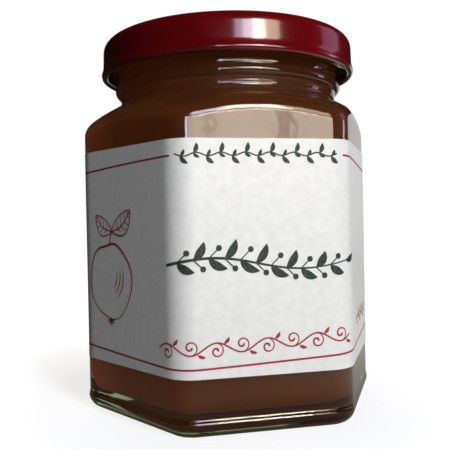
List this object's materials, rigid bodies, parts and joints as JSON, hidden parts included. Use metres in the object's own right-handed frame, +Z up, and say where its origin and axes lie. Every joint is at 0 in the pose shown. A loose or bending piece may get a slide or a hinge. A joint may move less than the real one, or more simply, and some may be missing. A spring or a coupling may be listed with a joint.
{
  "type": "hexagonal jam jar",
  "caption": "Hexagonal glass jar of quince spread with a wraparound paper label and a twist-off metal lid that unscrews.",
  "frame": {"origin": "middle of the base, on the surface the jar stands on", "axes": "+Z up along the jar's axis, the front flat of the label faces -Y, +X to the right of it"},
  "size_m": [0.0698, 0.0624, 0.0857],
  "materials": {
    "glass": "clear container glass, faintly green, polished",
    "spread": "dark amber fruit spread, translucent, wet",
    "paper": "uncoated white label paper with dark red and dark green print",
    "lacquer": "gloss dark red lacquer on tinplate",
    "compound": "off-white sealing compound, matt"
  },
  "bodies": {
    "jar": {"glass_jar": "glass", "quince_spread": "spread", "label": "paper"},
    "lid": {"lid": "lacquer", "lid_liner": "compound"}
  },
  "joints": [
    {"name": "lid_twist", "type": "hinge", "parent": "jar", "child": "lid", "pos_m": [0, 0, 0.08], "axis": [0, 0, 1], "range_deg": [0, 70]}
  ]
}
